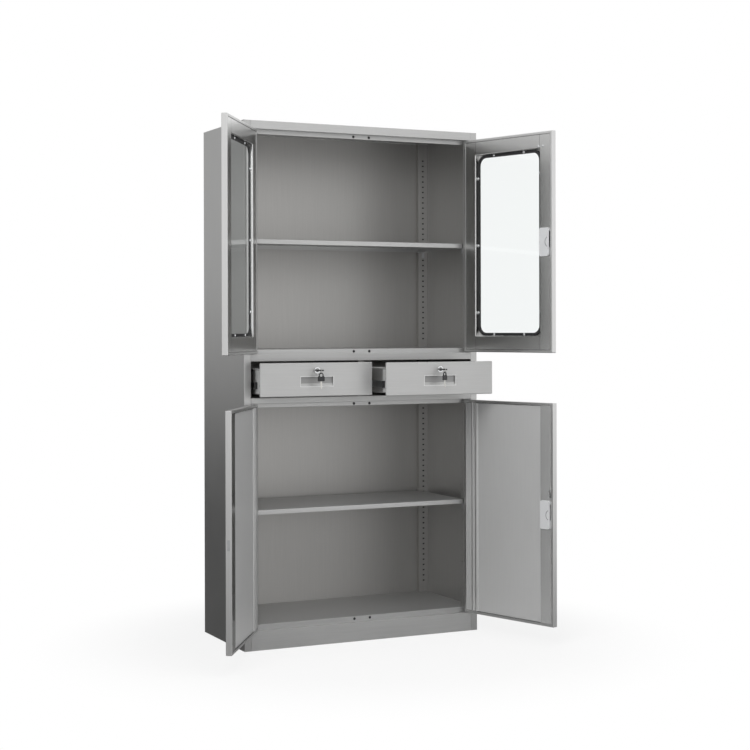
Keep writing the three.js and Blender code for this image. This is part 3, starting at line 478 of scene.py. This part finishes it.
FACE_FRONT = Matrix.Rotation(math.radians(90), 4, "X")
button = [(0, 0.0024), (0.0026, 0.0022), (0.0042, 0.0014), (0.0048, 0.0), (0, 0.0)]
for level, height in (("header", 1.7645), ("upper", 1.0135), ("ceiling", 0.8305), ("bottom", 0.0755)):
    for hand, across in (("left", -BUMPER_ASIDE), ("right", BUMPER_ASIDE)):
        bm = turned(button)
        bm.transform(Matrix.Translation((across, LIP_FRONT, height)) @ FACE_FRONT)
        settle(bm, f"{level}_{hand}_bumper", "carcass", rubber, "rubber")

# Hinge pins: turned steel with zinc plating, one at the head of each door.
# Each is dropped through the ledge above into a hole in the door's folded edge.
PLATED_GRAIN = (90, 90, 90)
plating = brushed_steel(
    "zinc_plating", PLATED_GRAIN, (0.46, 0.47, 0.48), (0.62, 0.63, 0.64), 0.34, 0.3, 0.2,
)
for level in ("upper", "lower"):
    for hand in ("left", "right"):
        dress(f"{level}_{hand}_hinge_pin", plating)

# Shelf uprights: folded angles in the back corners, punched with a column of slots.
# The shelf clips hook into the slots and carry the shelves, which are shallow folded trays.
# Width, shortfall and setback of the dark strip behind the slots, which is painted shade.
SLOT_SHADE_WIDE = 0.0110
SLOT_SHADE_SHORT = 0.02
SLOT_SHADE_BEHIND = 0.0008


def block(size, centre, round_off=0.0, segments=2):
    bm = bmesh.new()
    bmesh.ops.create_cube(bm, size=1, matrix=Matrix.Translation(centre) @ Matrix.Diagonal((*size, 1)))
    if round_off:
        round_edges(bm, bm.edges, round_off, segments)
    return bm


def reach(node):
    """The low and high corners of one solid."""
    spots = [vertex.co for vertex in frame["nodes"][node].data.vertices]
    return [Vector([pick(spot[axis] for spot in spots) for axis in range(3)]) for pick in (min, max)]


# Dark steel for the hairline joints of the door frames and for strips of painted shadow and painted shade.
shadow_line = brushed_steel("steel_seam_and_painted_shadow", UPRIGHT_GRAIN, (0.05, 0.05, 0.05), (0.09, 0.09, 0.09), 0.55)
for hand in ("left", "right"):
    node = f"{hand}_rear_upright"
    fold(node, f"{hand}_upright", "carcass", steel_inside_painted_shade)
    low, high = reach(node)
    # A dark strip just behind each upright's slots is painted shade, so that the slots read dark.
    bm = block(
        (SLOT_SHADE_WIDE, 0.0004, high.z - low.z - SLOT_SHADE_SHORT),
        ((low.x + high.x) / 2, low.y + SHEET + SLOT_SHADE_BEHIND, (low.z + high.z) / 2),
    )
    settle(bm, f"{hand}_upright_painted_slot_shade", "carcass", shadow_line, "stainless")
for level in ("upper", "lower"):
    fold(f"{level}_shelf", f"{level}_shelf_tray", "carcass", steel_level)
    for hand in ("left", "right"):
        for end in ("front", "rear"):
            dress(f"{level}_{hand}_{end}_clip", plating)

# Drawer divider and the rails: a folded post stands between the drawers.
# The rails are plated channels, screwed to the post and to brackets on the side walls.
fold("drawer_divider", "divider_post", "carcass", steel_inside_painted_shade)
for hand in ("left", "right"):
    for side in ("inner", "outer"):
        dress(f"{hand}_drawer_{side}_rail", plating)
        dress(f"{hand}_drawer_{side}_slide", plating)

# Upper doors: a folded skin with a round-cornered window, lined with a channel frame.
# Each swings on its hinge axis, and is drawn closed before it is set at the angle it stands open.
DOOR_FOOT = {"upper": 1.008, "lower": 0.068}
DOOR_TALL = {"upper": 0.762, "lower": 0.768}
DOOR_WIDE = 0.421
HINGE_EDGE = -0.0055
FREE_EDGE = DOOR_WIDE + HINGE_EDGE
LINER_FACE = 0.0147
LINER_STILE = 0.058
DOOR_LIP = 0.009
PAN_BEND = 0.0045
LIP_SHADOW_WIDE = 0.0012
FRAME_SEAM = 0.0007
SEAM_PROUD = 0.0002


def hung(bm, level, hand):
    """Sets what was drawn on a closed left-hand door on the door that it belongs to."""
    joint = next(j for j in frame["joints"] if j["name"] == f"{level}_{hand}_door_hinge")
    swing = math.radians(-joint["range_deg"][0])
    if hand == "right":
        bm.transform(Matrix.Scale(-1, 4, (1, 0, 0)))
        bmesh.ops.reverse_faces(bm, faces=bm.faces)
    turn = Matrix.Rotation(swing if hand == "right" else -swing, 4, "Z")
    spot = Vector((joint["pos_m"][0], joint["pos_m"][1], DOOR_FOOT[level]))
    bm.transform(Matrix.Translation(spot) @ turn)
    return bm


steel_door = brushed_steel(
    "steel_brushed_door", UPRIGHT_GRAIN, (0.60, 0.60, 0.595), (0.76, 0.76, 0.755), 0.34, 0.22, 0.10,
)
steel_polished = brushed_steel(
    "steel_polished_frame", UPRIGHT_GRAIN, (0.65, 0.65, 0.645), (0.75, 0.75, 0.745), 0.25, 0.12, 0.04,
)


def lip_painted_shadow(body, level, hand):
    """Dark strips of painted shadow along the joint between a door's turned-in lip and the sheet that lines
    it, wider than the joint itself.
    """
    tall = DOOR_TALL[level]
    inset = DOOR_LIP + 0.0009
    wide = DOOR_WIDE - 2 * inset
    middle = (HINGE_EDGE + FREE_EDGE) / 2
    for edge, size, centre in (
        ("head", (wide, SEAM_PROUD, LIP_SHADOW_WIDE), (middle, LINER_FACE, tall - inset)),
        ("foot", (wide, SEAM_PROUD, LIP_SHADOW_WIDE), (middle, LINER_FACE, inset)),
        ("free", (LIP_SHADOW_WIDE, SEAM_PROUD, tall - 2 * inset), (FREE_EDGE - inset, LINER_FACE, tall / 2)),
    ):
        bm = hung(block(size, centre), level, hand)
        settle(bm, f"{body}_{edge}_lip_painted_shadow", body, shadow_line, "stainless")


for hand in ("left", "right"):
    body = f"upper_{hand}_door"
    fold(f"{body}_skin", f"{body}_pan", body, steel_door, PAN_BEND)
    fold(f"{body}_liner", f"{body}_frame", body, steel_polished)

    tall = DOOR_TALL["upper"]
    seam = LINER_STILE - DOOR_LIP
    for row, low in (("top", tall - LINER_STILE), ("foot", DOOR_LIP)):
        for side, x in (("hinge", HINGE_EDGE + LINER_STILE), ("free", FREE_EDGE - LINER_STILE)):
            bm = block((FRAME_SEAM, SEAM_PROUD, seam), (x, LINER_FACE, low + seam / 2))
            settle(hung(bm, "upper", hand), f"{body}_{row}_{side}_seam", body, shadow_line, "stainless")
    lip_painted_shadow(body, "upper", hand)

# Glazing: clear float glass held in a black rubber channel, pressed home by pan-head screws.
# The screws sit on washers round the channel, and two more pin the right-hand frame at its top corner.
glass = bpy.data.materials.new("float_glass")
glass.use_nodes = True
tree = glass.node_tree
pane = tree.nodes["Principled BSDF"]
pane.inputs["Base Color"].default_value = (0.97, 0.995, 0.99, 1)
pane.inputs["Transmission Weight"].default_value = 1.0
pane.inputs["IOR"].default_value = 1.45
place = tree.nodes.new("ShaderNodeTexCoord")
wipe = tree.nodes.new("ShaderNodeTexNoise")
wipe.inputs["Scale"].default_value = 3.0
wipe.inputs["Detail"].default_value = 4
wire(tree, place.outputs["Object"], wipe.inputs["Vector"])
film = tree.nodes.new("ShaderNodeMapRange")
film.inputs["From Min"].default_value = 0.4
film.inputs["From Max"].default_value = 0.8
film.inputs["To Min"].default_value = 0.0
film.inputs["To Max"].default_value = 0.012
wire(tree, wipe.outputs["Fac"], film.inputs["Value"])
wire(tree, film.outputs["Result"], pane.inputs["Roughness"])

CHROME_GRAIN = (60, 60, 60)
chrome = brushed_steel(
    "chrome_plating", CHROME_GRAIN, (0.70, 0.71, 0.72), (0.80, 0.81, 0.82), 0.10, 0.10, 0.03,
)
SEAL_BACK = 0.0053
SEAL_MIDDLE = 0.0055
SCREW_STEP = 0.240
SCREW_ASIDE = 0.071
FACE_BACK = Matrix.Rotation(math.radians(-90), 4, "X")
pan_head = [
    (0, 0.0018), (0.0009, 0.0018), (0.0010, 0.0030), (0.0030, 0.0025), (0.0043, 0.0009), (0.0043, 0.0006),
    (0.0055, 0.0006), (0.0055, 0.0), (0, 0.0),
]


def screw(x, y, z):
    bm = turned(pan_head, 20)
    bm.transform(Matrix.Translation((x, y, z)) @ FACE_BACK)
    return bm


def rounded_copy(node, radius, segments=3):
    """A copy of one moulded or turned solid, with its sharp outer edges rounded."""
    bm = merged_copy(node)
    edges = [e for e in bm.edges if len(e.link_faces) == 2 and e.is_convex and e.calc_face_angle(0) > 1.0]
    round_edges(bm, edges, radius, segments)
    return bm


for hand in ("left", "right"):
    body = f"upper_{hand}_door"
    frame["nodes"][f"{body}_glass"].material_slots[0].material = glass
    settle(rounded_copy(f"{body}_seal", 0.0007, 2), f"{body}_rubber", body, rubber, "rubber", f"{body}_seal")

    tall = DOOR_TALL["upper"]
    middle_x = (HINGE_EDGE + FREE_EDGE) / 2
    rim_x = DOOR_WIDE / 2 - LINER_STILE - SEAL_MIDDLE
    rim_z = tall / 2 - LINER_STILE - SEAL_MIDDLE
    for side, x in (("hinge", middle_x - rim_x), ("free", middle_x + rim_x)):
        for row, rise in (("low", -SCREW_STEP), ("mid", 0.0), ("high", SCREW_STEP)):
            bm = hung(screw(x, SEAL_BACK, tall / 2 + rise), "upper", hand)
            settle(bm, f"{body}_{side}_{row}_screw", body, chrome, "chrome")
    for end, z in (("foot", tall / 2 - rim_z), ("head", tall / 2 + rim_z)):
        for side, shift in (("hinge", -SCREW_ASIDE), ("free", SCREW_ASIDE)):
            bm = hung(screw(middle_x + shift, SEAL_BACK, z), "upper", hand)
            settle(bm, f"{body}_{end}_{side}_screw", body, chrome, "chrome")
for row, shift in (("rail", -0.005), ("stile", 0.015)):
    bm = screw(FREE_EDGE - LINER_STILE + shift, LINER_FACE, DOOR_TALL["upper"] - 0.051)
    bm = hung(bm, "upper", "right")
    settle(bm, f"upper_right_door_corner_{row}_screw", "upper_right_door", chrome, "chrome")

# Lower doors: the same folded pan without a window, lined with one pressed sheet.
# Two folded ribs stiffen the band beside the hinge, and a thin strip over the band beside the free edge
# carries painted reflection, darker on the left door and lighter on the right.
RIB_WIDE = 0.006
RIB_DEEP = 0.0026
BAND_WIDE = 0.0490
BAND_INSET = 0.0337
steel_panel = brushed_steel(
    "steel_satin_panel", UPRIGHT_GRAIN, (0.54, 0.54, 0.535), (0.64, 0.64, 0.635), 0.46, 0.14, 0.05, 0.3,
)
steel_band_painted_light = brushed_steel(
    "steel_band_lit_painted_reflection", UPRIGHT_GRAIN, (0.52, 0.52, 0.515), (0.66, 0.66, 0.655), 0.24, 0.2, 0.08, 0.55,
)
steel_band_painted_dark = brushed_steel(
    "steel_band_dark_painted_reflection", UPRIGHT_GRAIN, (0.30, 0.30, 0.295), (0.41, 0.41, 0.405), 0.18, 0.2, 0.08,
)
for hand in ("left", "right"):
    body = f"lower_{hand}_door"
    fold(f"{body}_skin", f"{body}_pan", body, steel_door, PAN_BEND)
    fold(f"{body}_panel", f"{body}_lining", body, steel_panel)
    tall = DOOR_TALL["lower"]
    inside = tall - 2 * DOOR_LIP
    for name, x in (("outer", 0.0335), ("inner", 0.0505)):
        bm = block((RIB_WIDE, RIB_DEEP, inside), (x, LINER_FACE, tall / 2), 0.0012, 3)
        settle(hung(bm, "lower", hand), f"{body}_{name}_rib", body, steel_door, "stainless")
    # A thin strip over the free-edge band carries painted reflection: darker on the left door, lighter on
    # the right.
    bm = block((BAND_WIDE, 0.0003, inside), (FREE_EDGE - BAND_INSET, LINER_FACE, tall / 2))
    band = steel_band_painted_dark if hand == "left" else steel_band_painted_light
    settle(hung(bm, "lower", hand), f"{body}_free_band_painted_reflection", body, band, "stainless")
    lip_painted_shadow(body, "lower", hand)
bm = block((0.0008, 0.0085, 0.034), (FREE_EDGE, 0.006, 0.346), 0.0003)
settle(hung(bm, "lower", "left"), "lower_left_door_strike", "lower_left_door", plating, "zinc")

# Lock covers, pulls and barrels of the right-hand doors.
# The cover is a white moulding inside the door, and the pull a grey cup let into the outside.
# The barrel is chromed, and runs from the pull through the door to its cam under the cover.
moulding = moulded("white_moulding", (0.63, 0.635, 0.64), (0.71, 0.715, 0.72), 0.34, 0.48)
# The grey and black mouldings also draw painted shade for the cover groove, key slot and latch slot.
grey_moulding_and_painted_shade = moulded("grey_moulding_and_painted_shade", (0.12, 0.12, 0.125), (0.17, 0.17, 0.175), 0.38, 0.55)
black_moulding_and_painted_shade = moulded("black_moulding_and_painted_shade", (0.010, 0.010, 0.011), (0.022, 0.022, 0.024), 0.28, 0.45)
for level in ("upper", "lower"):
    door = f"{level}_right_door"
    for part, name, radius, body, paint, slot in (
        ("lock_cover", "cover", 0.0007, door, moulding, "white_plastic"),
        ("pull", "cup_pull", 0.0007, door, grey_moulding_and_painted_shade, "grey_plastic"),
        ("lock_barrel", "barrel", 0.0004, f"{level}_door_lock", chrome, "chrome"),
    ):
        node = f"{level}_right_{part}"
        settle(rounded_copy(node, radius), f"{level}_{name}", body, paint, slot, node)

# Latch and cover details: a thin dark grey arc on each cover is painted shade for a curved groove, and a
# black chip on each barrel is painted shade for its key slot.
# The plated latch tongue shows above the lower cover, beside a black strip that is painted shade for its
# slot in the door's inner sheet.
LOCK_LINE = FREE_EDGE - 0.0333
BARREL_FACE = -0.0073
BARREL_RISE = 0.030
COVER_FACE = 0.0230
GROOVE_RADIUS = 0.018
GROOVE_CENTRE = 0.4065
GROOVE_SPAN = 126
turns = [i * math.pi / 4 for i in range(8)]
groove = [(GROOVE_RADIUS + 0.0010 * math.cos(turn), 0.0004 * math.sin(turn)) for turn in turns]
for level in ("upper", "lower"):
    middle_z = DOOR_TALL[level] / 2
    # The dark grey arc is painted shade for the groove in the cover.
    bm = bmesh.new()
    ring = [bm.verts.new((u, v, 0)) for u, v in groove]
    loop = [bm.edges.new(pair) for pair in zip(ring, ring[1:] + ring[:1])]
    bmesh.ops.spin(
        bm, geom=ring + loop, cent=(0, 0, 0), axis=(0, 1, 0), angle=math.radians(GROOVE_SPAN),
        steps=18, use_merge=False, use_normal_flip=False, use_duplicate=False,
    )
    bmesh.ops.holes_fill(bm, edges=[edge for edge in bm.edges if edge.is_boundary], sides=0)
    bmesh.ops.recalc_face_normals(bm, faces=bm.faces)
    turn = Matrix.Rotation(math.radians(180 - GROOVE_SPAN / 2), 4, "Y")
    bm.transform(Matrix.Translation((GROOVE_CENTRE, COVER_FACE, middle_z)) @ turn)
    bm = hung(bm, level, "right")
    settle(bm, f"{level}_cover_groove_painted_shade", f"{level}_right_door", grey_moulding_and_painted_shade, "grey_plastic")
    # The black chip on the barrel face is painted shade for the key slot.
    bm = block((0.0018, 0.0006, 0.0080), (LOCK_LINE, BARREL_FACE, middle_z + BARREL_RISE), 0.0002)
    settle(hung(bm, level, "right"), f"{level}_keyway_painted_shade", f"{level}_door_lock", black_moulding_and_painted_shade, "key_plastic")
latch_z = DOOR_TALL["lower"] / 2 + 0.074
bm = block((0.005, 0.003, 0.027), (0.4010, LINER_FACE + 0.0012, latch_z), 0.0008)
settle(hung(bm, "lower", "right"), "lower_latch_tongue", "lower_right_door", chrome, "chrome")
# The black strip beside the tongue is painted shade for its slot.
bm = block((0.003, 0.0008, 0.020), (0.4052, LINER_FACE + 0.0002, latch_z - 0.006))
settle(hung(bm, "lower", "right"), "lower_latch_slot_painted_shade", "lower_right_door", black_moulding_and_painted_shade, "key_plastic")

# Drawers: a folded front with a finger pull pressed into it inside a raised rim; the rim is painted lighter
# as painted highlight, and a dark sheet at the back of the pull is painted shade.
# The welded tray behind has its edges rolled over, and a bracket ties it to the front; the rolled edges and
# the brackets are painted lighter, as painted highlight and painted light.
steel_tray = brushed_steel(
    "steel_satin_tray", (420, 6, 420), (0.36, 0.357, 0.35), (0.48, 0.477, 0.47), 0.44, 0.14, 0.05, 0.8,
)
# A lighter copy of the drawer steel, as painted highlight on the pull rims and rolled edges and painted
# light on the brackets.
steel_painted_highlight = brushed_steel(
    "steel_light_painted_highlight", LEVEL_GRAIN, (0.62, 0.62, 0.615), (0.74, 0.74, 0.735), 0.40, 0.14, 0.05, 0.4,
)
# A darker copy of the drawer steel, as painted shade at the back of the pull and painted dark reflection on
# the lock plugs.
steel_painted_shade = brushed_steel(
    "steel_dark_painted_shade", LEVEL_GRAIN, (0.27, 0.27, 0.268), (0.36, 0.36, 0.357), 0.46, 0.14, 0.05, 0.6,
)
PULL_HALF = Vector((0.060, 0, 0.016))
PULL_DEPTH = 0.0065
PULL_RISE = 0.0505
RIM_WIDE = 0.0025
RIM_DEEP = 0.0008
RIM_SHIFT = 0.0012
ROLLED_EDGE = 0.0032
BRACKET = 0.062
RIVET_BACK = 0.026
RIVET_RISE = 0.9010
CAP_LONG = 0.009
rivet = [(0, 0.0016), (0.0026, 0.0012), (0.0036, 0.0), (0, 0.0)]
for hand in ("left", "right"):
    body = f"{hand}_drawer"
    node = f"{body}_front"
    fold(node, f"{hand}_front", body, steel_level)
    low, high = reach(node)
    pull = Vector(((low.x + high.x) / 2, low.y, low.z + PULL_RISE))
    across = (2 * (PULL_HALF.x + RIM_WIDE), RIM_DEEP, RIM_WIDE)
    upright = (RIM_WIDE, RIM_DEEP, 2 * PULL_HALF.z)
    for edge, size, shift in (
        ("head", across, (0, -0.0001, PULL_HALF.z + RIM_SHIFT)),
        ("foot", across, (0, -0.0001, -PULL_HALF.z - RIM_SHIFT)),
        ("left", upright, (-PULL_HALF.x - RIM_SHIFT, -0.0001, 0)),
        ("right", upright, (PULL_HALF.x + RIM_SHIFT, -0.0001, 0)),
    ):
        # The rim strips are in the lighter steel, painted highlight.
        bm = block(size, pull + Vector(shift), 0.0003)
        settle(bm, f"{hand}_pull_{edge}_rim", body, steel_painted_highlight, "stainless")
    # A dark sheet at the back of the pull is painted shade for the recess.
    bm = block((0.1196, 0.0003, 0.0220), pull + Vector((0, PULL_DEPTH - 0.0001, 0.0048)))
    settle(bm, f"{hand}_pull_back_painted_shade", body, steel_painted_shade, "stainless")

    node = f"{body}_tray"
    fold(node, f"{hand}_tray", body, steel_tray)
    low, high = reach(node)
    middle = (low + high) / 2
    tall = high.z - low.z - 0.008
    for side, x, out in (("near", low.x, -1), ("far", high.x, 1)):
        # The rolled edge is in the lighter steel, painted highlight.
        bm = block(
            (ROLLED_EDGE, high.y - low.y, ROLLED_EDGE), (x - out * SHEET / 2, middle.y, high.z - 0.0010),
            0.0014, 3,
        )
        settle(bm, f"{hand}_tray_{side}_rim", body, steel_painted_highlight, "stainless")
        # The bracket is in the lighter steel, painted light on the tray side.
        bm = block(
            (0.0008, BRACKET, tall), (x + out * 0.0003, low.y + BRACKET / 2, middle.z - 0.001), 0.0003,
        )
        settle(bm, f"{hand}_tray_{side}_bracket", body, steel_painted_highlight, "stainless")
        bm = turned(rivet)
        turn = Matrix.Rotation(math.radians(90 * out), 4, "Y")
        bm.transform(Matrix.Translation((x + out * 0.0007, low.y + RIVET_BACK, RIVET_RISE)) @ turn)
        settle(bm, f"{hand}_tray_{side}_rivet", body, plating, "zinc")
    for side in ("inner", "outer"):
        low, high = reach(f"{body}_{side}_slide")
        middle = (low + high) / 2
        bm = block((high.x - low.x, CAP_LONG, high.z - low.z), (middle.x, low.y - 0.0035, middle.z), 0.0012)
        settle(bm, f"{hand}_{side}_slide_cap", body, black_moulding_and_painted_shade, "key_plastic")

# Drawer locks: a chromed housing through each front, with a key left in its plug.
# The key is a black moulded bow on a nickel blade, and the plug turns a plated cam behind the front.
NICKEL_GRAIN = (200, 200, 200)
nickel = brushed_steel(
    "nickel_plating", NICKEL_GRAIN, (0.56, 0.55, 0.52), (0.70, 0.69, 0.66), 0.26, 0.16, 0.05,
)


def arc(u, v, radius, start, stop, steps=8):
    """Points along an arc about (u, v), between two angles in degrees."""
    turns = [math.radians(start + (stop - start) * i / steps) for i in range(steps + 1)]
    return [(u + radius * math.cos(turn), v + radius * math.sin(turn)) for turn in turns]


def pierced_plate(rim, eye, eye_radius, thick):
    """A flat plate in the XZ plane with a round eye through it."""
    bm = bmesh.new()
    turns = [math.atan2(v - eye[1], u - eye[0]) for u, v in rim]
    hole = [(eye[0] + eye_radius * math.cos(turn), eye[1] + eye_radius * math.sin(turn)) for turn in turns]
    edges = []
    for ring in (rim, hole):
        points = [bm.verts.new((u, -thick / 2, v)) for u, v in ring]
        edges += [bm.edges.new(pair) for pair in zip(points, points[1:] + points[:1])]
    flat = bmesh.ops.bridge_loops(bm, edges=edges)["faces"]
    raised = bmesh.ops.extrude_face_region(bm, geom=flat)["geom"]
    lifted = [item for item in raised if isinstance(item, bmesh.types.BMVert)]
    bmesh.ops.translate(bm, verts=lifted, vec=(0, thick, 0))
    bmesh.ops.recalc_face_normals(bm, faces=bm.faces)
    round_edges(bm, [edge for edge in bm.edges if edge.calc_face_angle(0) > 1.0], 0.0005, 2)
    return bm


LAID_FLAT = Matrix.Rotation(math.radians(-90), 4, "X")
plug = [(0, 0.003), (0.0056, 0.003), (0.0064, 0.0023), (0.0064, -0.0203), (0, -0.0203)]
bow_rim = (
    arc(0.0045, -0.020, 0.008, 0, 90) + arc(-0.0045, -0.020, 0.008, 90, 180)
    + arc(-0.0045, -0.028, 0.008, 180, 270) + arc(0.0045, -0.028, 0.008, 270, 360)
)
for hand, inward in (("left", 1), ("right", -1)):
    body = f"{hand}_key"
    turn = next(joint for joint in frame["joints"] if joint["name"] == f"{hand}_key_turn")
    seat = Matrix.Translation(turn["pos_m"])
    node = f"{hand}_drawer_lock"
    settle(rounded_copy(node, 0.0006), f"{hand}_lock_housing", f"{hand}_drawer", chrome, "chrome", node)
    bm = pierced_plate(bow_rim, (0, -0.0298), 0.0032, 0.0048)
    bm.transform(seat @ LAID_FLAT)
    settle(bm, f"{hand}_key_bow", body, black_moulding_and_painted_shade, "key_plastic", f"{hand}_drawer_key")
    # The plug is in the darker steel, as a painted dark reflection.
    bm = turned(plug)
    bm.transform(seat @ FACE_FRONT)
    settle(bm, f"{hand}_lock_plug", body, steel_painted_shade, "chrome")
    bm = block((0.007, 0.0105, 0.0015), (0, -0.0078, 0), 0.0003)
    bm.transform(seat)
    settle(bm, f"{hand}_key_blade", body, nickel, "chrome")
    bm = block((0.043, 0.002, 0.012), (inward * 0.0165, 0.0213, 0), 0.0004)
    bm.transform(seat)
    settle(bm, f"{hand}_lock_cam", body, plating, "zinc")

# Spare keys: each hangs by a wire ring from the eye of the key in the lock.
# The head is an arched black moulding, and the right-hand one has turned on its ring.
head_rim = (
    arc(0, -0.0115, 0.0085, -10, 190, 16) + [(-0.0125, -0.018)]
    + arc(-0.010, -0.0301, 0.0025, 180, 270, 4) + arc(0.010, -0.0301, 0.0025, 270, 360, 4)
    + [(0.0125, -0.018)]
)
wire_loop = [(0.007 + u, v) for u, v in arc(0, 0, 0.0008, 0, 360)]
for hand, spin in (("left", 0), ("right", 27)):
    body = f"{hand}_spare_key"
    swing = next(joint for joint in frame["joints"] if joint["name"] == f"{hand}_spare_key_swing")
    seat = Matrix.Translation(swing["pos_m"])
    bm = turned(wire_loop, 32)
    bm.transform(seat @ Matrix.Rotation(math.radians(90), 4, "Y"))
    settle(bm, f"{hand}_key_ring", body, nickel, "chrome")
    seat = seat @ Matrix.Rotation(math.radians(spin), 4, "Z")
    bm = pierced_plate(head_rim, (0, -0.0115), 0.0054, 0.0032)
    bm.transform(seat)
    settle(bm, f"{hand}_spare_head", body, black_moulding_and_painted_shade, "key_plastic", f"{hand}_drawer_spare_key")
    bm = block((0.006, 0.0015, 0.025), (0, 0, -0.0441), 0.0005)
    bm.transform(seat)
    settle(bm, f"{hand}_spare_blade", body, nickel, "chrome")
